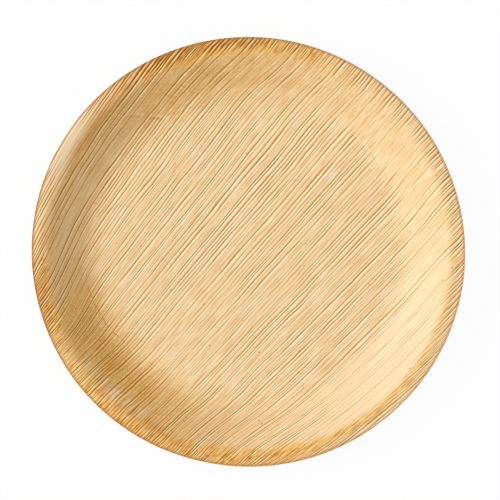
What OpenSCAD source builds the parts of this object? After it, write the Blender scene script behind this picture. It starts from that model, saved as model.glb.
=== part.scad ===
// Round dinner plate pressed from one flat piece of palm leaf sheath.
// The leaf is drawn as a flat round blank with straight, slightly fanned ribs, and each of its points
// is then laid on the plate's section at the same distance from the middle, as the press lays it.
// The underside of the floor is level at z = 0, with the middle of the plate at x = y = 0.

/* [Plate] */
// Diameter over the rim
plate_d = 250; // [220:1:320]
// Height from the underside of the floor to the crest of the shoulder
plate_h = 20; // [14:0.5:32]
// Diameter of the flat floor
floor_d = 169; // [100:1:190]
// Thickness of the pressed leaf, over the crests of its ribs
leaf_t = 1.8; // [1.2:0.1:3]

/* [Bends] */
// Radius of the underside where the floor turns up into the wall
heel_r = 27; // [10:0.5:30]
// Radius of the underside where the wall turns over into the lip
shoulder_r = 9; // [4:0.5:12]

/* [Lip] */
// Level width of the lip, from the crest of the shoulder to the edge
lip_w = 5; // [4:0.5:12]
// Slope of the lip below level, in degrees
lip_droop = 10; // [0:1:14]

/* [Ribs] */
// Direction of the ribs, in degrees from the x axis
grain_angle = 49; // [0:1:180]
// Distance from the middle of the plate to the point where the ribs would meet
fan_distance = 1000; // [600:50:4000]
// Mean distance between two grooves
rib_pitch = 3.6; // [3.3:0.1:8]
// Depth of the grooves between the ribs
groove_depth = 0.4; // [0.1:0.05:0.6]
// Depth of the pleats that the grooves become at the edge
pleat_depth = 0.8; // [0.2:0.05:1]

/* [Hidden] */

// Share by which the distance between two grooves varies, and the depth of a groove
pitch_spread = 0.35;
depth_spread = 0.4;
// Start values of the two random series
pitch_seed = 11;
depth_seed = 29;
// Steps of the mesh over the heel, the wall, the shoulder and the lip
top_steps = [3, 2, 3, 1];
under_steps = [2, 2, 2, 1];
// Place of the added row, as a share of the first and the last rib's width
edge_row = 0.12;
// Largest share that the two bends may take of what the section leaves them
bend_room = 0.9;
// Share of a short row that is spread evenly, where it crosses too few rings
even_share = 0.7;
// Degrees in one radian of arc
degrees = 180 / PI;

// The section, along the underside: a level floor, the heel's arc, a straight wall, the shoulder's arc
// and a straight lip. The bends shrink together where the section is too steep or too short for them.
run = plate_d / 2 - lip_w - floor_d / 2;
rise = plate_h - leaf_t;
bend_sum = heel_r + shoulder_r;
bend_limit = bend_room * (rise > run ? run : (run * run + rise * rise) / (2 * rise));
bend_fit = min(1, bend_limit / bend_sum);
heel = heel_r * bend_fit;
shoulder = shoulder_r * bend_fit;
bends = heel + shoulder;
wall_l = sqrt(run * run + rise * rise - 2 * rise * bends);
wall_angle = atan2(rise - bends, run) + atan2(bends, wall_l);
lip_l = (lip_w - (shoulder + leaf_t) * sin(lip_droop)) / cos(lip_droop);

// Distances from the middle of the flat blank to each change of the section
floor_end = floor_d / 2;
heel_end = floor_end + heel * wall_angle / degrees;
wall_end = heel_end + wall_l;
shoulder_end = wall_end + shoulder * (wall_angle + lip_droop) / degrees;
blank_r = shoulder_end + lip_l;

function clamp(x, low, high) = max(low, min(high, x));
function smooth(x) = let (t = clamp(x, 0, 1)) t * t * (3 - 2 * t);

// How far the heel and the shoulder have turned the leaf at a distance s along the blank
function heel_turn(s) = clamp((s - floor_end) / heel * degrees, 0, wall_angle);
function shoulder_turn(s) = clamp((s - wall_end) / shoulder * degrees, 0, wall_angle + lip_droop);

// Radius and height of the underside at a distance s along the blank
function under_r(s) =
    min(s, floor_end)
    + heel * sin(heel_turn(s))
    + clamp(s - heel_end, 0, wall_l) * cos(wall_angle)
    + shoulder * (sin(wall_angle) - sin(wall_angle - shoulder_turn(s)))
    + max(s - shoulder_end, 0) * cos(lip_droop);
function under_z(s) =
    heel * (1 - cos(heel_turn(s)))
    + clamp(s - heel_end, 0, wall_l) * sin(wall_angle)
    + shoulder * (cos(wall_angle - shoulder_turn(s)) - cos(wall_angle))
    - max(s - shoulder_end, 0) * sin(lip_droop);

// The leaf's point at p along and q across the grain, raised square to the underside by a thickness
function pressed(p, q, thick) =
    let (s = norm([p, q]),
         turn = heel_turn(s) - shoulder_turn(s),
         r = under_r(s) - thick * sin(turn),
         z = under_z(s) + thick * cos(turn),
         a = grain_angle + atan2(q, p))
    [r * cos(a), r * sin(a), z];

// A rib is a straight line on the blank, at u across the grain where it passes the middle. Ribs spread
// apart along the grain. They meet a ring of radius s at rib_middle(u) plus and minus rib_reach(u, s).
function rib_square(u) = 1 + pow(u / fan_distance, 2);
function rib_middle(u) = -u * u / fan_distance / rib_square(u);
function rib_reach(u, s) =
    let (rest = pow(u * u / fan_distance, 2) - rib_square(u) * (u * u - s * s))
    sqrt(max(0, rest)) / rib_square(u);
function rib_across(u, p) = u * (1 + p / fan_distance);

// The outermost rib only touches the edge of the blank
u_edge = blank_r / sqrt(1 - pow(blank_r / fan_distance, 2));

// Uneven rib widths, added up and fitted between the two outermost ribs
rib_count = round(2 * u_edge / rib_pitch);
rib_widths = [for (w = rands(-1, 1, rib_count, pitch_seed)) 1 + pitch_spread * w];
function running(list) =
    [for (i = 0, sum = 0; i <= len(list); sum = sum + (i < len(list) ? list[i] : 0), i = i + 1) sum];
groove_sums = running(rib_widths);
groove_u = [for (sum = groove_sums) u_edge * (2 * sum / groove_sums[rib_count] - 1)];
groove_share = [for (d = rands(-1, 1, rib_count + 1, depth_seed)) 1 + depth_spread * (d - 1) / 2];

// Rows of the mesh run along the ribs: a crest, a groove, a crest and so on. Each is [u, groove share].
// The first and the last rib have one more row close to the edge, which keeps the outline round.
rows = [
    [groove_u[0] + (groove_u[1] - groove_u[0]) * edge_row, 0],
    for (i = [0:rib_count - 1]) each [
        [(groove_u[i] + groove_u[i + 1]) / 2, 0],
        if (i < rib_count - 1) [groove_u[i + 1], groove_share[i + 1]]
    ],
    [groove_u[rib_count] - (groove_u[rib_count] - groove_u[rib_count - 1]) * edge_row, 0],
];

// Rings of the mesh, at each change of the section and between
function rings(steps) =
    let (ends = [floor_end, heel_end, wall_end, shoulder_end, blank_r])
    [floor_end, for (k = [0:3]) for (i = [1:steps[k]]) ends[k] + (ends[k + 1] - ends[k]) * i / steps[k]];

// Places along a rib where it crosses the rings, from one end to the other
function stations(u, radii) =
    let (last = len(radii),
         reach = rib_reach(u, blank_r),
         half = [for (j = [0:last - 1])
             j == last - 1 ? reach : max(rib_reach(u, radii[j]), even_share * reach * (j + 1) / last)])
    [for (j = [last - 1:-1:0]) rib_middle(u) - half[j],
     for (j = [0:last - 1]) rib_middle(u) + half[j]];

// Leaf thickness at a place on a rib or in a groove: the grooves deepen into pleats over the shoulder
function thickness(share, s) =
    leaf_t - share * (groove_depth
        + (pleat_depth - groove_depth) * smooth((s - wall_end) / (blank_r - wall_end)));

top_radii = rings(top_steps);
under_radii = rings(under_steps);
top_points = [for (row = rows) for (p = stations(row[0], top_radii))
    let (q = rib_across(row[0], p)) pressed(p, q, thickness(row[1], norm([p, q])))];
under_points = [for (row = rows) for (p = stations(row[0], under_radii))
    pressed(p, rib_across(row[0], p), 0)];
// The two places where the outermost ribs touch the edge, on each side of the leaf
poles = [for (thick = [leaf_t, 0]) for (u = [-u_edge, u_edge])
    let (p = rib_middle(u)) pressed(p, rib_across(u, p), thick)];

row_last = len(rows) - 1;
top_last = 2 * len(top_radii) - 1;
under_last = 2 * len(under_radii) - 1;
function top(i, j) = i * (top_last + 1) + j;
function under(i, j) = len(top_points) + i * (under_last + 1) + j;
first_pole = len(top_points) + len(under_points);

// The edge of the leaf, in order round the plate, as pairs of a top point and an underside point
edge = [
    [first_pole, first_pole + 2],
    for (i = [0:row_last]) [top(i, 0), under(i, 0)],
    [first_pole + 1, first_pole + 3],
    for (i = [row_last:-1:0]) [top(i, top_last), under(i, under_last)],
];

// Cells are split into triangles, listed clockwise as seen from outside the leaf
faces = [
    for (i = [0:row_last - 1]) for (j = [0:top_last - 1]) each [
        [top(i, j), top(i + 1, j), top(i + 1, j + 1)],
        [top(i, j), top(i + 1, j + 1), top(i, j + 1)]],
    for (j = [0:top_last - 1]) each [
        [first_pole, top(0, j), top(0, j + 1)],
        [first_pole + 1, top(row_last, j + 1), top(row_last, j)]],
    for (i = [0:row_last - 1]) for (j = [0:under_last - 1]) each [
        [under(i, j), under(i + 1, j + 1), under(i + 1, j)],
        [under(i, j), under(i, j + 1), under(i + 1, j + 1)]],
    for (j = [0:under_last - 1]) each [
        [first_pole + 2, under(0, j + 1), under(0, j)],
        [first_pole + 3, under(row_last, j), under(row_last, j + 1)]],
    for (k = [0:len(edge) - 1]) let (here = edge[k], next = edge[(k + 1) % len(edge)]) each [
        [here[0], here[1], next[1]],
        [here[0], next[1], next[0]]],
];

module plate() {
    color("#edca98")
        polyhedron(points = concat(top_points, under_points, poles), faces = faces, convexity = 4);
}

plate();
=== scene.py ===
# %% [markdown]
# # A palm leaf plate
# The plate is one piece of dried palm leaf sheath, soaked and pressed hot between two moulds. This lesson
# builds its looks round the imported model: a flat leaf with fine ribs, pressed by a node tree onto the
# plate's section, then coloured as a leaf is, with amber grooves and a toasted rim. A turned dish with
# ribs in its material alone would be less work, but only a leaf that is really pressed has ribs that bend
# outwards over the wall and stand up from every side.

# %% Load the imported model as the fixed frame
import math
import bpy
import numpy as np
from mathutils import Matrix, Vector


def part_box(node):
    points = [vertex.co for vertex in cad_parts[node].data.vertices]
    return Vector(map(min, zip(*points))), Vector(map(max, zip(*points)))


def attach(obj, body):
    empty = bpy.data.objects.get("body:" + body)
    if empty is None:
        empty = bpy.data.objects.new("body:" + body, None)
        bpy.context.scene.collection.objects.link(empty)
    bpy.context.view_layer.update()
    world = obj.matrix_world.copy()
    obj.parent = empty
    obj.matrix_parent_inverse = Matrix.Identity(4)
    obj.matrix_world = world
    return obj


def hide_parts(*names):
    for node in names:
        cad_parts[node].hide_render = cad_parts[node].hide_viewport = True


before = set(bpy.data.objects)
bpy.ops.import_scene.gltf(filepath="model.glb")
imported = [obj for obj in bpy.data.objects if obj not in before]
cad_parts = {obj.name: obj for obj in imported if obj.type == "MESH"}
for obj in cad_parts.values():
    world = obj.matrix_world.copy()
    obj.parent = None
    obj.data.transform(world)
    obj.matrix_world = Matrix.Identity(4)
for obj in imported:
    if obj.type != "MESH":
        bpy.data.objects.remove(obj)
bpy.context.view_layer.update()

# %% [markdown]
# ## Sizes
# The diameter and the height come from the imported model, so the looks can't drift from it. The rest are
# the sizes of the section, in millimetres as a maker would give them, and `MM` turns them to metres.

# %% Sizes of the plate
MM = 0.001
box_low, box_high = (Vector(corner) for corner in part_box("plate"))
plate_r = (box_high.x - box_low.x) / 2 / MM
plate_h = box_high.z / MM
floor_r = 84.5
leaf_t = 1.8
heel_r = 27.0
shoulder_r = 9.0
lip_w = 5.0
lip_droop = math.radians(10)
grain_degrees = 49
grain_angle = math.radians(grain_degrees)
fan_distance = 1000.0
print("plate radius %.1f mm, height %.1f mm" % (plate_r, plate_h))

# %% [markdown]
# ## Camera
# The photograph looks almost straight down, from a little above the plate's middle and to its right. The
# plate fills most of the frame, so the lens is worked out from the plate's size in the picture.

# %% Camera
picture = 500
plate_r_px = 217.2
middle_px = (247.1, 253.0)
camera_distance = 1.3
camera_elevation = math.radians(86)
camera_azimuth = math.radians(45)


def direction(azimuth, elevation):
    """Unit vector that points to an azimuth and an elevation."""
    level = math.cos(elevation)
    return Vector((level * math.cos(azimuth), level * math.sin(azimuth), math.sin(elevation)))


mm_per_px = plate_r / plate_r_px
camera_data = bpy.data.cameras.new("camera")
camera_data.sensor_width = 36
camera_data.lens = camera_data.sensor_width * camera_distance / (picture * mm_per_px * MM)
camera_data.clip_end = 20
camera_data.shift_x = (picture / 2 - middle_px[0]) / picture
camera_data.shift_y = (middle_px[1] - picture / 2) / picture
camera = bpy.data.objects.new("camera", camera_data)
bpy.context.scene.collection.objects.link(camera)
back = direction(camera_azimuth, camera_elevation)
right = Vector((1, 0, 0))
right = (right - right.dot(back) * back).normalized()
turned = Matrix((right, back.cross(right), back)).transposed().to_4x4()
camera.matrix_world = Matrix.Translation(Vector((0, 0, box_high.z)) + back * camera_distance) @ turned
bpy.context.scene.camera = camera
print("lens %.0f mm at %.2f m" % (camera_data.lens, camera_distance))

# %% [markdown]
# ## One helper for every node
# Materials and node trees are both made of nodes with settings, values and links, so one small function
# adds any of them. Colours are written as sRGB hex values and turned to the linear ones Blender wants.

# %% Node and colour helpers
def add(tree, kind, links=(), **settings):
    """Adds one node. links gives each input, by name or number, a value or another node's output."""
    node = tree.nodes.new(kind)
    for name, value in settings.items():
        setattr(node, name, value)
    for key, value in dict(links).items():
        if isinstance(value, bpy.types.NodeSocket):
            tree.links.new(value, node.inputs[key])
        else:
            node.inputs[key].default_value = value
    return node


def hex_colour(code):
    """Linear colour of an sRGB hex value, by the sRGB standard's own formula."""
    parts = [int(code[i:i + 2], 16) / 255 for i in (1, 3, 5)]
    return [c / 12.92 if c <= 0.04045 else ((c + 0.055) / 1.055) ** 2.4 for c in parts] + [1.0]

# %% [markdown]
# ## Section of the press
# Seen in section, the mould is a level floor, an arc at the heel, a straight wall, an arc at the shoulder
# and a lip that droops a little. The wall's slope follows from the sizes above. The leaf keeps its length
# along the section, so distances along it say where on the flat leaf each change falls.

# %% Section sizes
run = plate_r - lip_w - floor_r
rise = plate_h - leaf_t
bends = heel_r + shoulder_r
wall_l = math.sqrt(run ** 2 + rise ** 2 - 2 * rise * bends)
wall_angle = math.atan2(rise - bends, run) + math.atan2(bends, wall_l)
lip_l = (lip_w - (shoulder_r + leaf_t) * math.sin(lip_droop)) / math.cos(lip_droop)
heel_end = floor_r + heel_r * wall_angle
wall_end = heel_end + wall_l
shoulder_end = wall_end + shoulder_r * (wall_angle + lip_droop)
leaf_end = shoulder_end + lip_l

wall_top = Vector((
    floor_r + heel_r * math.sin(wall_angle) + wall_l * math.cos(wall_angle), 0,
    heel_r * (1 - math.cos(wall_angle)) + wall_l * math.sin(wall_angle)))
heel_corner = Vector((floor_r + heel_r * math.tan(wall_angle / 2), 0, 0))
shoulder_corner = wall_top + shoulder_r * math.tan((wall_angle + lip_droop) / 2) * Vector((
    math.cos(wall_angle), 0, math.sin(wall_angle)))
lip_end = wall_top + Vector((
    shoulder_r * (math.sin(wall_angle) + math.sin(lip_droop)) + lip_l * math.cos(lip_droop), 0,
    shoulder_r * (math.cos(lip_droop) - math.cos(wall_angle)) - lip_l * math.sin(lip_droop)))
print("wall slope %.1f degrees" % math.degrees(wall_angle))
print("leaf radius along the section %.1f mm" % leaf_end)

# %% [markdown]
# ## The flat leaf
# A palm sheath is ribbed: fine dark grooves run along it, two millimetres or so apart, uneven in depth and
# spacing. The mesh has six rows of points to each groove, so that every groove is real geometry. Towards
# the rim the pressed leaf is too wide for the circle and gathers into pleats. There the flat leaf is drawn
# a quarter longer than the lip it becomes, which gives the pleats the slant they have in the photograph.

# %% Ribs across the leaf
groove_pitch = 1.78
pitch_spread = 0.55
gather = 1.25
blank_r = wall_end + gather * (leaf_end - wall_end)
rib_edge = blank_r / math.sqrt(1 - (blank_r / fan_distance) ** 2)


def soft_noise(x, y, seed):
    """Smooth seeded values from -1 to 1 that change over a distance of one."""
    size = 256
    grid = np.random.default_rng(seed).uniform(-1, 1, (size, size))
    column, line = np.floor(x).astype(int), np.floor(y).astype(int)
    share_x, share_y = x - column, y - line
    share_x = share_x * share_x * (3 - 2 * share_x)
    share_y = share_y * share_y * (3 - 2 * share_y)
    left, right_of = column % size, (column + 1) % size
    front, behind = line % size, (line + 1) % size
    near = grid[left, front] * (1 - share_x) + grid[right_of, front] * share_x
    far = grid[left, behind] * (1 - share_x) + grid[right_of, behind] * share_x
    return near * (1 - share_y) + far * share_y


def ease(x, start, end):
    """Zero before start, one after end and smooth between."""
    t = np.clip((x - start) / (end - start), 0, 1)
    return t * t * (3 - 2 * t)


rng = np.random.default_rng(5)
gap_count = round(2 * rib_edge / groove_pitch)
gaps = 1 + pitch_spread * rng.uniform(-1, 1, gap_count)
edges = np.concatenate([[0], np.cumsum(gaps)])
groove_u = rib_edge * (2 * edges / edges[-1] - 1)[1:-1]
groove_count = len(groove_u)
least_gap = np.minimum(gaps[1:], gaps[:-1])

# Most grooves are strong. Two close together are both weaker, and towards the two sides of the leaf the
# strength changes. Every second groove fades on the wall at the upper left, where the photograph has few.
# These four are distances across the leaf, in millimetres
fade_from = 66
vary_from = 88
bold_from = 116
faint_below = -112
strong = rng.uniform(0, 1, groove_count) < 0.7
strong_values = rng.uniform(0.55, 1.05, groove_count)
weak_values = rng.uniform(0.25, 0.5, groove_count)
side_values = rng.uniform(0.6, 1.4, groove_count)
strength = np.where(strong, strong_values, weak_values)
strength = np.where(groove_u > vary_from, side_values, strength)
strength = strength * np.clip(1.4 * least_gap - 0.2, 0.3, 1)
strength = np.where(groove_u > bold_from, 1.3 * strength, strength)
strength = np.where(groove_u < faint_below, 0.6 * strength, strength)
every_second = np.arange(groove_count) % 2 == 0
faded = np.where((groove_u > fade_from) & every_second, 0.3, 1.0)
print(groove_count, "grooves,", int(strong.sum()), "of them strong")

# %% Rows of points along the ribs
# Six rows to a groove: its bottom, the two rows of its amber flank and the three of the pale flank beyond.
# The amber flank faces away from the lamp and is partly painted shade; the pale flank faces the lamp and
# its cream is a painted highlight. Each is its distance from the groove, its share of the groove's depth,
# and its share of amber or cream.
groove_rows = [
    (-1.15, 0.0, 0.0),
    (-0.72, 0.1, -1.0),
    (-0.30, 0.6, -0.1),
    (0.0, 1.0, 1.0),
    (0.34, 0.7, 0.85),
    (0.68, 0.1, 0.0),
]
# A groove is narrower where the gap beside it is less than this
full_gap = 1.9
narrow = np.minimum(1, least_gap * groove_pitch / full_gap)
rows = []
for k, u in enumerate(groove_u):
    for place, depth, tone in groove_rows:
        beside = gaps[k] if place < 0 else gaps[k + 1]
        rows.append((u + place * min(1, beside * groove_pitch / full_gap), k, depth, tone))

# Two plain rows lie between the last groove and the edge on each side, and keep the outline round
last = groove_count - 1
for place in (0.6, 0.85):
    rows.append((groove_u[last] + place * (rib_edge - groove_u[last]), last, 0.0, 0.0))
    rows.append((groove_u[0] - place * (rib_edge + groove_u[0]), 0, 0.0, 0.0))
rows = [row for row in rows if abs(row[0]) < rib_edge]
rows.sort()
row_u, row_groove, row_share, row_tone_and_painted_light = (np.array(part) for part in zip(*rows))
row_groove = row_groove.astype(int)
print(len(row_u), "rows of points")

# %% [markdown]
# Each row runs along a rib from edge to edge. Its points lie where it crosses rings round the plate's
# middle, close together where the section bends, so that the heel and the shoulder come out round. The
# leaf cracked a little where the floor turns up, so five rings lie close together there, and wander.

# %% Places along the rows
# Share of a short row that is spread evenly, where it crosses too few rings
even_share = 0.7


def rib_square(u):
    return 1 + (u / fan_distance) ** 2


def rib_middle(u):
    """Place along a rib that is nearest to the middle of the leaf."""
    return -u ** 2 / fan_distance / rib_square(u)


def rib_reach(u, ring):
    """Distance along a rib from its middle to where it crosses a ring."""
    rest = (u ** 2 / fan_distance) ** 2 - rib_square(u) * (u ** 2 - ring ** 2)
    return np.sqrt(np.maximum(0, rest)) / rib_square(u)


def patches(angle, spots):
    """Sum of soft patches round the plate: each has its angle, its half width and its strength."""
    apart = [np.abs((angle - centre + 180) % 360 - 180) / width for centre, width, _ in spots]
    return sum(amount * np.exp(-d ** 2) for d, (_, _, amount) in zip(apart, spots))


def flat(s):
    """Distance on the flat leaf for a distance s along the section."""
    return s - (1 - gather) * np.maximum(0, s - wall_end)


def rings(counts):
    """Distances along the section, so many to the floor, heel, wall, shoulder and lip."""
    ends = [0, floor_r, heel_end, wall_end, shoulder_end, leaf_end]
    parts = [np.linspace(ends[k], ends[k + 1], n + 1)[1:] for k, n in enumerate(counts)]
    return np.concatenate(parts)


def stations(u, radii, wander=(0.0, 0.0)):
    """Places along each row, one line per row. wander moves the rings at the two ends of the rows."""
    share = even_share * np.arange(1, len(radii) + 1) / len(radii)
    share[-1] = 1
    reach = share * rib_reach(u[:, None], radii[-1])
    first, second = (np.maximum(rib_reach(u[:, None], radii + move), reach) for move in wander)
    middle = rib_middle(u)[:, None]
    return np.concatenate([middle - first[:, ::-1], middle + second], axis=1)


edge_round = 0.25
crease_s = 92.0
crease_reach = 16
crease_steps = np.array([-0.9, -0.4, 0, 0.4, 0.9])
crease_shifts = [(188, 22, 5), (240, 25, -5)]
top_s = rings([15, 7, 7, 6, 3])
top_s = top_s[np.abs(top_s - crease_s) > 1.2]
top_s = np.sort(np.concatenate([top_s, crease_s + crease_steps]))
under_s = rings([1, 3, 1, 3, 2])
top_s[-1] = under_s[-1] = leaf_end - edge_round
top_s[-2] = leaf_end - 3 * edge_round

# The crease wanders by patches and by two soft noises, worked out from the bearing at each end of a row
near_crease = np.clip(1 - np.abs(top_s - crease_s) / crease_reach, 0, 1)
half_chord = np.sqrt(np.maximum(0, crease_s ** 2 - row_u ** 2))
wander = []
for sign in (-1, 1):
    end = np.degrees(np.arctan2(row_u, sign * half_chord)) + grain_degrees
    shift = patches(end, crease_shifts) + 0.9 * soft_noise(row_u / 7, end / 90, 31)
    shift += 0.6 * soft_noise(row_u / 1.7, end / 90, 32)
    wander.append(shift[:, None] * near_crease)
top_p = stations(row_u, flat(top_s), wander)
under_p = stations(row_u, flat(under_s))
print("points along a row:", top_p.shape[1], "above,", under_p.shape[1], "below")

# %% [markdown]
# The grooves are cut into the leaf's thickness. They are not the same all over: on the shaded left they
# are shallow, on the stretched wall at the upper right they almost vanish, and at the rim they deepen into
# dark pleats. Two folds lie in the lip at the upper left, and broken creases cross the grain at the heel.

# %% Relief of the upper side
groove_depth = 0.36
pleat_depth = 0.18
crease_depth = 0.12


def section_distance(p, q):
    """Distance along the section for a point of the flat leaf."""
    c = np.hypot(p, q)
    return c + (1 / gather - 1) * np.maximum(0, c - wall_end)


def across(u, p):
    """Distance across the grain of a point at p along the rib u: the ribs spread apart a little."""
    return u * (1 + p / fan_distance)


def bearing_of(p, q):
    """Angle round the plate, in degrees, of a point of the flat leaf."""
    return np.degrees(np.arctan2(q, p) + grain_angle)


def along_row(values, count):
    """One value per row, repeated for each of the row's points."""
    return np.repeat(values[:, None], count, 1)


# Patches round the plate, each with its angle, half width and strength
shaded_side = [(180, 70, 1.0)]
smooth_side = [(165, 32, 1.0)]
smooth_crest = [(147, 13, 0.9)]
stretched_side = [(345, 45, 0.3)]
ochre_side = [(230, 28, 0.7)]
dark_rims = [(112, 20, 0.9), (188, 13, 0.6)]
crease_spots = [(210, 24, 1.0), (43, 12, 0.8), (120, 14, 0.4)]
# Folds in the lip at the upper left: grooves close together, deeper and darker than the rest.
# Each is its distance across the leaf, its half width there, its angle and its half width round the plate.
folds = [(116.5, 2.4, 131, 15), (109.0, 1.3, 113, 9)]
# Places where the grooves are fainter or bolder. Each is its angle and half width round the plate, where
# it starts and ends outwards, and by what share the grooves change there.
line_changes = [
    (46, 27, 94, 120, -0.7),
    (40, 14, 122, 131, -0.4),
    (232, 28, 20, 92, -0.55),
    (312, 20, 95, 110, -0.45),
    (97, 26, 52, 90, 0.4),
    (191, 15, 84, 122, 0.75),
    (190, 16, 110, 124, 0.6),
    (338, 34, 122, 131, 0.5),
    (262, 14, 111, 124, 0.35),
    (140, 11, 125, 131, -0.25),
]

# Where each point of the upper side is
n_rows, n_top, n_under = len(row_u), top_p.shape[1], under_p.shape[1]
top_u = along_row(row_u, n_top)
top_groove = along_row(row_groove, n_top)
top_q = across(top_u, top_p)
top_out = section_distance(top_p, top_q)
bearing = bearing_of(top_p, top_q)
lip = ease(top_out, wall_end - 9, leaf_end)
wall_share = ease(top_out, floor_r - 8, heel_end + 4)
to_rim = ease(top_out, leaf_end - 9, leaf_end - 3)
wall_only = wall_share * (1 - to_rim)

# How strong the groove is there: it comes and goes along its length, and weak ones are smoothed out first
along = np.clip(0.65 + 0.8 * soft_noise(top_groove * 0.9, top_p / 11, 11), 0.05, 1.3)
strong_here = strength[top_groove] * (1 - (1 - faded[top_groove]) * wall_only)
shaded = patches(bearing, shaded_side) * wall_share
smooth_left = patches(bearing, smooth_side) * wall_only
over_crest = patches(bearing, smooth_crest) * ease(top_out, wall_end + 2, wall_end + 5)
weak = 1 - ease(strong_here, 0.4, 0.9)
weaker = 1 - ease(strong_here, 0.65, 1.0)
smoothed = (1 - over_crest) * (1 - np.maximum(0.35 * wall_only * weak, smooth_left * weaker))
dark_rim = patches(bearing, dark_rims) * to_rim
stretched = patches(bearing, stretched_side) * wall_only

cut = groove_depth * narrow[top_groove] * row_share[:, None] * strong_here * along * smoothed
cut *= (1 - 0.55 * wall_share - 0.28 * shaded) * (1 + 0.7 * to_rim)
cut *= (1 + 0.5 * dark_rim) * (1 - stretched)

# Above zero a point is amber, partly painted shade on a groove's shaded flank; below zero it is cream, a
# painted highlight on the lit flank, weaker where the wall is shaded
groove_colour = row_tone_and_painted_light[:, None] * strong_here * (0.3 + 0.7 * along) * smoothed * (1 - stretched)
more_amber = 1 + 0.15 * wall_share + patches(bearing, ochre_side) * wall_only
groove_colour *= np.where(groove_colour < 0, 1 - 0.6 * shaded, more_amber)
groove_colour *= 1 + 1.1 * to_rim + dark_rim

for fold_u, half_width, fold_angle, spread in folds:
    fold = patches(bearing, [(fold_angle, spread, 1.0)]) * np.exp(-((top_u - fold_u) / half_width) ** 2)
    fold = fold * ease(top_out, wall_end - 9, wall_end - 4)
    cut *= 1 + 0.9 * fold
    groove_colour *= 1 + 1.2 * fold
for place_angle, spread, start, end, change in line_changes:
    here = ease(top_out, start - 6, start + 4) * (1 - ease(top_out, end - 4, end + 6))
    here = here * patches(bearing, [(place_angle, spread, change)])
    cut *= 1 + here * (1 - 0.8 * shaded)
    groove_colour *= 1 + here

# The press left broken creases across the grain where the floor turns up into the wall: a dark ring of
# points and a pale one beside it, at both ends of each row
crease_ring = np.flatnonzero(top_s == crease_s)[0]
for ring, depth, tone in ((crease_ring, 1.0, 0.8), (crease_ring + 1, 0.2, -0.6)):
    for column in (len(top_s) - 1 - ring, len(top_s) + ring):
        broken = patches(bearing[:, column], crease_spots)
        broken = broken * ease(soft_noise(row_u / 2.5, np.full(n_rows, column), 33), -0.3, 0.2)
        cut[:, column] += crease_depth * depth * broken
        groove_colour[:, column] += tone * broken

# Each noise is an amount in millimetres and, in the brackets, a width and a length of its lumps
ridge = 0.05 * soft_noise(top_u / 1.1, top_p / 15, 12)
pleat = pleat_depth * soft_noise(top_u / 2.1, top_p / 40, 13) * lip
top_thick = leaf_t - cut + ridge * (1 - lip) + pleat - 0.15 * lip
waver = 0.5 * soft_noise(top_u / 14, top_p / 26, 14) + 0.2 * soft_noise(top_u / 3, top_p / 6, 15)
top_q = top_q + waver * (1 - ease(top_out, leaf_end - 4, leaf_end))
print("leaf %.2f to %.2f mm thick" % (top_thick.min(), top_thick.max()))

# %% [markdown]
# The underside uses the same rows, with faint grooves. The edge is closed by two more loops of points that
# round it off, because a pressed and cut leaf has no knife-sharp corner.

# %% Mesh of the flat leaf
under_relief = 0.15
under_colour = 0.6
under_q = across(along_row(row_u, n_under), under_p)
under_thick = along_row(under_relief * row_share * strength[row_groove], n_under)
# The underside's grooves carry the same amber and painted cream highlight, at a smaller share
under_tone_and_painted_light = along_row(under_colour * row_tone_and_painted_light * strength[row_groove], n_under)
top_id = np.arange(n_rows * n_top).reshape(n_rows, n_top)
under_id = top_id.size + np.arange(n_rows * n_under).reshape(n_rows, n_under)

# The outermost ribs only touch the edge: two more points on each side of the leaf, called poles
pole_id = top_id.size + under_id.size + np.arange(4).reshape(2, 2)
pole_u = np.array([-rib_edge, rib_edge]) * flat(top_s[-1]) / blank_r
pole_p = rib_middle(pole_u)
pole_q = across(pole_u, pole_p)

plan = np.concatenate([
    np.stack([top_p.ravel(), top_q.ravel()], 1),
    np.stack([under_p.ravel(), under_q.ravel()], 1),
    np.stack([np.tile(pole_p, 2), np.tile(pole_q, 2)], 1)])
thick = np.concatenate([top_thick.ravel(), under_thick.ravel(), np.full(2, leaf_t), np.zeros(2)])
groove = np.concatenate([groove_colour.ravel(), under_tone_and_painted_light.ravel(), np.zeros(4)])
rib_u = np.concatenate([top_u.ravel(), np.repeat(row_u, n_under), np.tile(pole_u, 2)])


def grid_faces(ids, flip):
    """Quads between neighbouring rows, and which way round they go."""
    a, b, c, d = ids[:-1, :-1], ids[1:, :-1], ids[1:, 1:], ids[:-1, 1:]
    quads = np.stack([a, b, c, d] if flip else [a, d, c, b], -1).reshape(-1, 4)
    return [list(map(int, quad)) for quad in quads]


def loop_of(ids, poles):
    """The points of one side that lie at the edge, in order round the leaf."""
    return np.concatenate([[poles[0]], ids[:, 0], [poles[1]], ids[::-1, -1]])


faces = grid_faces(top_id, False) + grid_faces(under_id, True)
for ids, poles, flip in ((top_id, pole_id[0], False), (under_id, pole_id[1], True)):
    for row, pole in ((ids[0], poles[0]), (ids[-1, ::-1], poles[1])):
        fans = [[int(pole), int(b), int(a)] for a, b in zip(row[:-1], row[1:])]
        faces += [fan[::-1] for fan in fans] if flip else fans

top_loop, under_loop = loop_of(top_id, pole_id[0]), loop_of(under_id, pole_id[1])
loops = [top_loop]
for level_share in (0.8, 0.2):
    ring_plan = plan[top_loop]
    ring_plan = ring_plan * (blank_r / np.hypot(ring_plan[:, 0], ring_plan[:, 1]))[:, None]
    loops.append(len(plan) + np.arange(len(top_loop)))
    plan = np.concatenate([plan, ring_plan])
    thick = np.concatenate([thick, thick[top_loop] * level_share])
    groove = np.concatenate([groove, groove[top_loop]])
    rib_u = np.concatenate([rib_u, rib_u[top_loop]])
loops.append(under_loop)
for upper, lower in zip(loops[:-1], loops[1:]):
    quads = np.stack([upper, np.roll(upper, -1), np.roll(lower, -1), lower], 1)[:, ::-1]
    faces += [list(map(int, quad)) for quad in quads]

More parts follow.
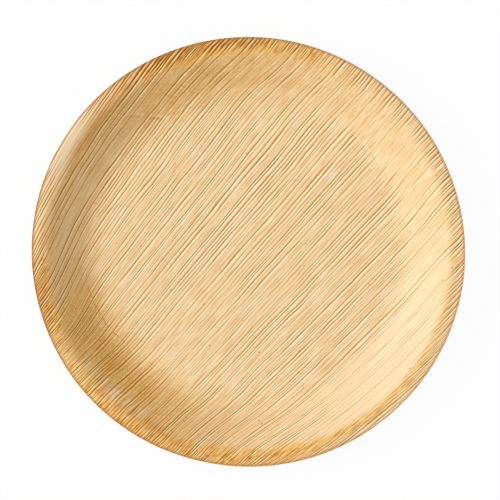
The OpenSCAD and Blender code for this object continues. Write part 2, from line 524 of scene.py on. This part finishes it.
# The lip is nearly level on the right and droops more at the upper left
lip_lifts = [(0, 65, 1.2), (150, 28, -0.2)]
crest_lifts = [(0, 70, -0.7), (152, 42, 0.25)]
crest_width = 3.2
angle = bearing_of(plan[:, 0], plan[:, 1])
out = section_distance(plan[:, 0], plan[:, 1])
lift = patches(angle, lip_lifts) * ease(out, wall_end, leaf_end)
lift += patches(angle, crest_lifts) * np.exp(-((out - shoulder_end) / crest_width) ** 2)

# The leaf slipped round by a few degrees on the wall as it was pressed, most on the left
slips = [(180, 22, 4.3), (221, 13, -2.6), (280, 22, -3.5), (345, 15, 1.5), (92, 26, -2.5)]
from_middle = np.hypot(plan[:, 0], plan[:, 1])
slipped = ease(from_middle, floor_r - 3, wall_end + 9)
final_angle = np.radians(angle + slipped * patches(angle, slips))
points = np.column_stack([
    from_middle * np.cos(final_angle), from_middle * np.sin(final_angle), np.zeros(len(plan))]) * MM
leaf = bpy.data.meshes.new("leaf")
leaf.from_pydata(points.tolist(), [], faces)
print("flat leaf:", len(leaf.vertices), "points,", len(leaf.polygons), "faces")

# %% [markdown]
# Colour is laid on the leaf before it is pressed, as numbers on its points: how amber a groove is, with
# painted shade on its shaded flank and a painted cream highlight on its lit flank, how far the heat has
# toasted the rim and how honey-coloured it is, the painted shade in ochre and the painted light in cream
# that the wall and the crest carry, and which points lie on the cut edge. The press heats the rim most, and
# not evenly all round.

# %% Numbers that the material reads
# Patches round the plate, each with its angle, half width and strength
toast_spots = [(108, 24, 1.0), (190, 12, 0.75), (262, 30, 0.2), (242, 9, 0.25)]
crest_toasts = [(137, 13, 0.65), (168, 14, 0.25), (241, 9, 0.35)]
honey_spots = [
    (268, 32, 0.85), (108, 24, 0.95), (78, 12, 0.35), (228, 24, 0.5), (192, 16, 0.7), (143, 18, -0.45),
    (36, 22, -0.22),
]
honey_gaps = [(218, 20, 0.55)]
pale_edges = [(318, 42, 0.7)]
honey_bands = [(315, 28, 0.45)]
# Painted shade and light: ochre on the shaded wall, cream on the wall that the lamp lights
painted_wall_shade_and_light = [(326, 36, -0.4), (218, 38, 1.0), (110, 36, 0.68), (153, 20, 0.12), (50, 25, 0.06)]
# Painted highlights on the crest at the upper left and the left
painted_crest_highlights = [(155, 20, -0.8), (208, 12, -0.6)]
# Painted highlights as pale bars at the lower left
painted_bar_highlight_spots = [(226, 18, 1.4)]
# Painted shade in ochre just under the crest at the upper left
painted_wall_top_shade = [(148, 14, 0.4)]
edge_band = 1.1


def band(centre, half_width, places=out):
    """One at a distance outwards, and soft on both sides of it."""
    return np.exp(-((places - centre) / half_width) ** 2)


ragged = out + 1.6 * soft_noise(rib_u / 0.9, plan[:, 0] / 30, 22)
rim_noise = 0.85 + 0.3 * soft_noise(rib_u / 1.2, plan[:, 0] / 12, 21)
toast = (0.04 + patches(angle, toast_spots)) * ease(ragged, wall_end + 2, leaf_end - 3) * rim_noise
toast += patches(angle, crest_toasts) * band(wall_end + 1.8, 3.2, ragged)
honey = (0.3 + patches(angle, honey_spots)) * ease(ragged, wall_end + 0.5, wall_end + 3.6) * rim_noise
honey *= 1 - patches(angle, honey_gaps) * band(wall_end + 2.5, 2)
honey *= 1 - patches(angle, pale_edges) * ease(out, shoulder_end - 4, shoulder_end)
honey += patches(angle, honey_bands) * band(shoulder_end - 3.2, 2)

# Painted shade and light on the wall: ochre where it is shaded, at the lower left and at the top, and cream
# where the lamp lights it, at the lower right. Painted highlights: pale bars across its upper end at the
# lower left, and a paler crest at the upper left and the left
on_wall = ease(out, floor_r - 8, heel_end + 4) * (1 - ease(out, wall_end + 1, wall_end + 6))
painted_shade_and_light = patches(angle, painted_wall_shade_and_light) * on_wall
# Painted highlight on the crest, beyond the top of the wall
painted_shade_and_light += patches(angle, painted_crest_highlights) * ease(out, wall_end, wall_end + 8)
# Painted highlights: pale bars across the top of the wall at the lower left
painted_highlight_bars = patches(angle, painted_bar_highlight_spots) * ease(soft_noise(rib_u / 1.1, plan[:, 0] / 40, 24), -0.5, 0.5)
painted_shade_and_light *= 1 - painted_highlight_bars * band(wall_end, 4)
painted_shade_and_light += patches(angle, painted_wall_top_shade) * band(wall_end - 2.5, 3)
edge_share = np.zeros(len(plan))
edge_share[out > leaf_end - edge_band] = 0.6
edge_share[loops[1]] = edge_share[loops[2]] = 1.0


def store(mesh, name, values):
    numbers = np.asarray(values, dtype=np.float32)
    mesh.attributes.new(name, "FLOAT", "POINT").data.foreach_set("value", numbers)


store(leaf, "thick", thick * MM)
store(leaf, "lift", lift * MM)
# Amber of the grooves, partly painted shade, and below zero the painted cream highlight of their lit flanks
store(leaf, "groove", groove)
store(leaf, "toast", np.clip(toast, 0, 1))
store(leaf, "honey", np.clip(honey, 0, 1))
# Painted shade above zero, painted light and highlights below zero
store(leaf, "painted_shade_and_light", np.clip(painted_shade_and_light, -1, 1))
store(leaf, "cut_edge", edge_share)
store(leaf, "rib_u", rib_u * MM)
store(leaf, "rib_v", plan[:, 0] * MM)
print("numbers on the leaf:", ", ".join(item.name for item in leaf.attributes if item.data_type == "FLOAT"))

# %% [markdown]
# ## The press
# A Geometry Nodes tree does what the mould does. It draws the section as a line with four corners, rounds
# the heel and the shoulder with Fillet Curve, and lays each point of the leaf on that line with Sample
# Curve, at the point's own distance from the middle. The tangent that Sample Curve gives says which way
# the leaf's thickness stands. The sizes are named inputs, so another plate needs no other tree.

# %% Node tree of the press
corner_names = ("Heel corner", "Shoulder corner", "Lip end")
bend_names = ("Heel radius", "Shoulder radius")
other_names = ("Gather start", "Gather", "Warp height", "Warp radius", "Depth share")
# Noise scale of the slow waves in the height and in the radius: a larger one gives more waves
warps = (("Warp height", 3.0), ("Warp radius", 1.3))


def press_tree():
    tree = bpy.data.node_groups.new("press", "GeometryNodeTree")
    sockets = tree.interface
    sockets.new_socket("Geometry", in_out="INPUT", socket_type="NodeSocketGeometry")
    for name in corner_names:
        sockets.new_socket(name, in_out="INPUT", socket_type="NodeSocketVector")
    for name in bend_names + other_names:
        sockets.new_socket(name, in_out="INPUT", socket_type="NodeSocketFloat")
    sockets.new_socket("Material", in_out="INPUT", socket_type="NodeSocketMaterial")
    sockets.new_socket("Geometry", in_out="OUTPUT", socket_type="NodeSocketGeometry")
    size = tree.nodes.new("NodeGroupInput").outputs

    # The section: a line of four points, moved to the corners, with two of them rounded. A switch has its
    # index as input 0 and the first point as input 1, which stays zero, because the line starts at the
    # middle. So the names start at input 2
    corners = add(tree, "GeometryNodeIndexSwitch", data_type="VECTOR")
    bend = add(tree, "GeometryNodeIndexSwitch", data_type="FLOAT")
    for switch, names in ((corners, corner_names), (bend, bend_names)):
        while len(switch.index_switch_items) < 4:
            switch.index_switch_items.new()
        tree.links.new(add(tree, "GeometryNodeInputIndex").outputs[0], switch.inputs["Index"])
        for place, name in enumerate(names, start=2):
            tree.links.new(size[name], switch.inputs[place])
    line = add(tree, "GeometryNodeMeshLine", {"Count": 4})
    bent = add(tree, "GeometryNodeSetPosition",
               {"Geometry": line.outputs[0], "Position": corners.outputs[0]})
    curve = add(tree, "GeometryNodeMeshToCurve", {0: bent.outputs[0]})
    section = add(tree, "GeometryNodeFilletCurve",
                  {0: curve.outputs[0], "Radius": bend.outputs[0], "Count": 32}, mode="POLY")

    # The place of each point on the section, from its distance to the middle of the leaf
    position = add(tree, "GeometryNodeInputPosition").outputs[0]
    distance = add(tree, "ShaderNodeVectorMath", {0: position}, operation="LENGTH").outputs["Value"]
    outward = add(tree, "ShaderNodeVectorMath", {0: position}, operation="NORMALIZE").outputs[0]
    beyond = add(tree, "ShaderNodeMath", {0: distance, 1: size["Gather start"]}, operation="SUBTRACT")
    beyond = add(tree, "ShaderNodeMath", {0: beyond.outputs[0], 1: 0.0}, operation="MAXIMUM")
    gathered = add(tree, "ShaderNodeMath", {0: beyond.outputs[0], 1: size["Gather"], 2: distance},
                   operation="MULTIPLY_ADD").outputs[0]
    on_section = add(tree, "GeometryNodeSampleCurve",
                     {"Curves": section.outputs[0], "Length": gathered}, mode="LENGTH")
    at = add(tree, "ShaderNodeSeparateXYZ", {0: on_section.outputs["Position"]}).outputs
    way = add(tree, "ShaderNodeSeparateXYZ", {0: on_section.outputs["Tangent"]}).outputs

    # The thickness stands square to the section, and the lift is added to the height
    thick = add(tree, "GeometryNodeInputNamedAttribute", {"Name": "thick"}, data_type="FLOAT").outputs[0]
    inward = add(tree, "ShaderNodeMath", {0: thick, 1: way["Z"]}, operation="MULTIPLY")
    radius = add(tree, "ShaderNodeMath", {0: at["X"], 1: inward.outputs[0]}, operation="SUBTRACT").outputs[0]
    height = add(tree, "ShaderNodeMath", {0: thick, 1: way["X"], 2: at["Z"]},
                 operation="MULTIPLY_ADD").outputs[0]
    lift = add(tree, "GeometryNodeInputNamedAttribute", {"Name": "lift"}, data_type="FLOAT").outputs[0]
    height = add(tree, "ShaderNodeMath", {0: height, 1: lift}, operation="ADD").outputs[0]

    # A natural leaf never stays quite round or level: slow waves that grow with the height above the floor
    for name, waves in warps:
        noise = add(tree, "ShaderNodeTexNoise", {"Vector": outward, "Scale": waves, "Detail": 0.0})
        wave = add(tree, "ShaderNodeMath", {0: noise.outputs[0], 1: 0.5}, operation="SUBTRACT")
        amount = add(tree, "ShaderNodeMath", {0: wave.outputs[0], 1: size[name]}, operation="MULTIPLY")
        risen = add(tree, "ShaderNodeMath", {0: at["Z"], 1: amount.outputs[0]},
                    operation="MULTIPLY").outputs[0]
        if name == "Warp height":
            height = add(tree, "ShaderNodeMath", {0: height, 1: risen}, operation="ADD").outputs[0]
        else:
            radius = add(tree, "ShaderNodeMath", {0: radius, 1: risen}, operation="ADD").outputs[0]

    # The outline is slightly oval: the depth share makes it narrower from top to bottom
    level_part = add(tree, "ShaderNodeVectorMath", {0: outward, "Scale": radius},
                     operation="SCALE").outputs[0]
    upright = add(tree, "ShaderNodeCombineXYZ", {"Z": height}).outputs[0]
    oval = add(tree, "ShaderNodeCombineXYZ", {"X": 1.0, "Y": size["Depth share"], "Z": 1.0}).outputs[0]
    spot = add(tree, "ShaderNodeVectorMath", {0: level_part, 1: oval, 2: upright},
               operation="MULTIPLY_ADD").outputs[0]
    pressed = add(tree, "GeometryNodeSetPosition", {"Geometry": size["Geometry"], "Position": spot})
    real = add(tree, "GeometryNodeRealizeInstances", {0: pressed.outputs[0]})
    dressed = add(tree, "GeometryNodeSetMaterial",
                  {"Geometry": real.outputs[0], "Material": size["Material"]})
    add(tree, "NodeGroupOutput", {0: dressed.outputs[0]})
    return tree


press = press_tree()
print("press tree:", len(press.nodes), "nodes")

# %% [markdown]
# ## Palm leaf
# The real finish is bare palm leaf sheath, cleaned and hot-pressed. It is cream to straw yellow with
# amber grooves, long thin fibres, soft blotches along the grain and a few small brown specks. The press
# leaves it faintly glossy. The rim goes from honey to toasted brown, with short brown and cream strokes.
# Light and shade are painted on as well: a cream highlight on the lit flank of each groove, ochre shade on
# the shaded wall, which is finely mottled, paler cream on the lit wall and pale highlights on the crest.

# %% Material of the pressed leaf
def palm_leaf():
    material = bpy.data.materials.new("hot_pressed_palm_leaf")
    material.use_nodes = True
    tree = material.node_tree
    tree.nodes.clear()
    names = ("groove", "toast", "honey", "painted_shade_and_light", "cut_edge", "rib_u", "rib_v")
    value = {name: add(tree, "ShaderNodeAttribute", attribute_name=name).outputs["Fac"] for name in names}
    grain = add(tree, "ShaderNodeCombineXYZ", {"X": value["rib_u"], "Y": value["rib_v"]}).outputs[0]

    def fibres(width_mm, length_mm, detail=2.0):
        """Streaks along the ribs, of a real width and length."""
        per_metre = (1 / (width_mm * MM), 1 / (length_mm * MM), 0)
        stretch = add(tree, "ShaderNodeVectorMath", {0: grain, 1: per_metre}, operation="MULTIPLY")
        links = {"Vector": stretch.outputs[0], "Scale": 1.0, "Detail": detail}
        return add(tree, "ShaderNodeTexNoise", links, noise_dimensions="2D").outputs[0]

    def mixed(factor, first, second, blend="MIX"):
        """Mix of two colours. The node's inputs 6 and 7 and its output 2 are the ones for colours."""
        mix = add(tree, "ShaderNodeMix", {"Factor": factor}, data_type="RGBA", blend_type=blend)
        for socket, colour in ((mix.inputs[6], first), (mix.inputs[7], second)):
            if isinstance(colour, str):
                socket.default_value = hex_colour(colour)
            else:
                tree.links.new(colour, socket)
        return mix.outputs[2]

    def ranged(factor, low, high, to_low=0.0, to_high=1.0):
        """A factor between low and high, stretched to another range."""
        links = {0: factor, 1: low, 2: high, 3: to_low, 4: to_high}
        return add(tree, "ShaderNodeMapRange", links).outputs[0]

    # Bare leaf: fibres, blotches, painted light on wall and crest, the grooves' painted highlight and amber
    streaks = fibres(0.6, 14)
    blotches = fibres(6, 25, 3.0)
    specks = fibres(1.5, 2.0, 0.0)
    colour = mixed(ranged(streaks, 0.35, 0.65), "#e6bd82", "#fae1b6")
    colour = mixed(ranged(blotches, 0.5, 0.75, 0.0, 0.35), colour, "#ebb67a")
    # Painted light: the lit wall turns cream
    colour = mixed(ranged(value["painted_shade_and_light"], 0.0, -0.5), colour, "#efdab4")
    # Painted highlight: the crest turns paler and greyer
    colour = mixed(ranged(value["painted_shade_and_light"], -0.5, -1.0), colour, "#d6c09e")
    # Painted highlight in cream on each groove's lit flank, then the grooves' amber, partly painted shade
    colour = mixed(ranged(value["groove"], 0.0, -0.7), colour, "#fff8e2")
    colour = mixed(ranged(value["groove"], 0.0, 0.6), colour, "#cd8600")
    # Painted shade: the shaded wall is multiplied towards ochre
    colour = mixed(ranged(value["painted_shade_and_light"], 0.0, 1.0, 0.0, 0.9), colour, "#f8e6a6", "MULTIPLY")
    colour = mixed(ranged(value["groove"], 0.9, 1.8), colour, "#a1640c")

    # Heat: a honey rim, toasted more in the grooves than between them, with short strokes on the honey
    lines = ranged(value["groove"], -1.0, 1.5, 0.5, 1.6)
    toasted = add(tree, "ShaderNodeMath", {0: value["toast"], 1: lines},
                  operation="MULTIPLY", use_clamp=True)
    colour = mixed(value["honey"], colour, "#ffebaa", "MULTIPLY")
    colour = mixed(toasted.outputs[0], colour, "#d7b27a", "MULTIPLY")
    strokes = fibres(0.9, 8, 1.0)
    for full_at, most, tone in ((0.66, 0.75, "#b4681a"), (0.34, 0.3, "#f8da98")):
        seen = ranged(strokes, 0.5, full_at, 0.0, most)
        stroke = add(tree, "ShaderNodeMath", {0: seen, 1: value["honey"]}, operation="MULTIPLY")
        colour = mixed(stroke.outputs[0], colour, tone)

    # Small marks: mottle on the painted ochre shade, burnt grooves at the rim, specks in blotches, cut edge
    spots = ranged(fibres(1.1, 2.0), 0.49, 0.62, 0.0, 0.36)
    mottle = add(tree, "ShaderNodeMath", {0: spots, 1: value["painted_shade_and_light"]}, operation="MULTIPLY", use_clamp=True)
    colour = mixed(mottle.outputs[0], colour, "#a8762e")
    burnt = add(tree, "ShaderNodeMath", {0: value["groove"], 1: value["toast"]}, operation="MULTIPLY")
    colour = mixed(ranged(burnt.outputs[0], 0.1, 1.2), colour, "#84480e")
    few = ranged(specks, 0.84, 0.89, 0.0, 0.85)
    speckled = add(tree, "ShaderNodeMath", {0: few, 1: ranged(blotches, 0.48, 0.58)}, operation="MULTIPLY")
    colour = mixed(speckled.outputs[0], colour, "#cc7a10")
    colour = mixed(value["cut_edge"], colour, "#bd7422")

    # The finest fibres are too thin for the mesh, so they are bump, half a millimetre wide
    bump = add(tree, "ShaderNodeBump", {"Strength": 0.25, "Distance": 0.1 * MM, "Height": fibres(0.5, 30)})
    gloss = ranged(streaks, 0.3, 0.7, 0.42, 0.54)
    surface = add(tree, "ShaderNodeBsdfPrincipled", {
        "Base Color": colour, "Roughness": gloss, "IOR": 1.45, "Specular IOR Level": 0.2,
        "Normal": bump.outputs[0]})
    add(tree, "ShaderNodeOutputMaterial", {0: surface.outputs[0]})
    return material


leaf_finish = palm_leaf()
print("palm leaf:", len(leaf_finish.node_tree.nodes), "nodes")

# %% [markdown]
# ## Pressing the leaf
# The modifier's inputs are set by their identifiers, and the result is turned into a plain mesh, so that
# the finished piece carries no live modifier.

# %% Press the leaf and keep the plain mesh
blank = bpy.data.objects.new("flat_leaf", leaf)
bpy.context.scene.collection.objects.link(blank)
modifier = blank.modifiers.new("press", "NODES")
modifier.node_group = press
sizes = {
    "Heel corner": heel_corner * MM,
    "Shoulder corner": shoulder_corner * MM,
    "Lip end": lip_end * MM,
    "Heel radius": heel_r * MM,
    "Shoulder radius": shoulder_r * MM,
    "Gather start": wall_end * MM,
    "Gather": 1 / gather - 1,
    "Warp height": 0.05,
    "Warp radius": 0.04,
    "Depth share": 0.992,
    "Material": leaf_finish,
}
for item in press.interface.items_tree:
    if item.in_out == "INPUT" and item.name in sizes:
        modifier[item.identifier] = sizes[item.name]
evaluated = blank.evaluated_get(bpy.context.evaluated_depsgraph_get())
plate_mesh = bpy.data.meshes.new_from_object(evaluated)
plate_mesh.name = "pressed_plate"
bpy.data.objects.remove(blank)
plate_mesh.shade_smooth()
plate = bpy.data.objects.new("pressed_plate", plate_mesh)
bpy.context.scene.collection.objects.link(plate)
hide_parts("plate")
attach(plate, "root")
triangles = sum(len(face.vertices) - 2 for face in plate_mesh.polygons)
print("pressed plate:", triangles, "triangles")

# %% [markdown]
# ## Studio
# A plain white table and one large soft lamp from the left, with even light from all round. The camera
# sees the table as white paper. The table still lights the plate as matt pale paper would, from below.

# %% Floor, lamp and surroundings
lamp_azimuth = math.radians(172)
lamp_elevation = math.radians(43)
lamp_width = math.radians(25)
lamp_strength = 2.15
room_strength = 0.53
floor_white = 0.95
floor_half = 4.0
white = (1, 1, 1, 1)


def seen_by_camera(tree):
    """One where the camera sees this, straight, mirrored or through glass, and zero where it lights."""
    rays = add(tree, "ShaderNodeLightPath").outputs
    seen = add(tree, "ShaderNodeMath", {0: rays["Is Camera Ray"], 1: rays["Is Glossy Ray"]},
               operation="MAXIMUM").outputs[0]
    return add(tree, "ShaderNodeMath", {0: seen, 1: rays["Is Transmission Ray"]},
               operation="MAXIMUM").outputs[0]


floor_mesh = bpy.data.meshes.new("table_top")
floor_corners = [(x * floor_half, y * floor_half, 0) for x, y in ((-1, -1), (1, -1), (1, 1), (-1, 1))]
floor_mesh.from_pydata(floor_corners, [], [(0, 1, 2, 3)])
floor = bpy.data.objects.new("table_top", floor_mesh)
bpy.context.scene.collection.objects.link(floor)

# Matt white paper: it gives the eye one even pale tone, with no shine
paper = bpy.data.materials.new("white_paper")
paper.use_nodes = True
tree = paper.node_tree
tree.nodes.clear()
lit = add(tree, "ShaderNodeBsdfDiffuse", {"Color": hex_colour("#e8e8e8")})
glow = add(tree, "ShaderNodeEmission", {"Color": white, "Strength": 1.0})
glow_share = add(tree, "ShaderNodeMath", {0: seen_by_camera(tree), 1: floor_white}, operation="MULTIPLY")
both = add(tree, "ShaderNodeMixShader", {0: glow_share.outputs[0], 1: lit.outputs[0], 2: glow.outputs[0]})
add(tree, "ShaderNodeOutputMaterial", {0: both.outputs[0]})
floor_mesh.materials.append(paper)

lamp_data = bpy.data.lights.new("soft_lamp", "SUN")
lamp_data.energy = lamp_strength
lamp_data.angle = lamp_width
lamp = bpy.data.objects.new("soft_lamp", lamp_data)
bpy.context.scene.collection.objects.link(lamp)
lamp.rotation_euler = direction(lamp_azimuth, lamp_elevation).to_track_quat("Z", "Y").to_euler()

world = bpy.data.worlds.new("studio")
bpy.context.scene.world = world
world.use_nodes = True
tree = world.node_tree
tree.nodes.clear()
room = add(tree, "ShaderNodeBackground", {"Color": white, "Strength": room_strength})
backdrop = add(tree, "ShaderNodeBackground", {"Color": white, "Strength": 1.0})
both = add(tree, "ShaderNodeMixShader",
           {0: seen_by_camera(tree), 1: room.outputs[0], 2: backdrop.outputs[0]})
add(tree, "ShaderNodeOutputWorld", {0: both.outputs[0]})

bpy.context.scene.view_settings.view_transform = "Standard"
print("lamp %.2f, room %.2f, table %.2f white" % (lamp_strength, room_strength, floor_white))
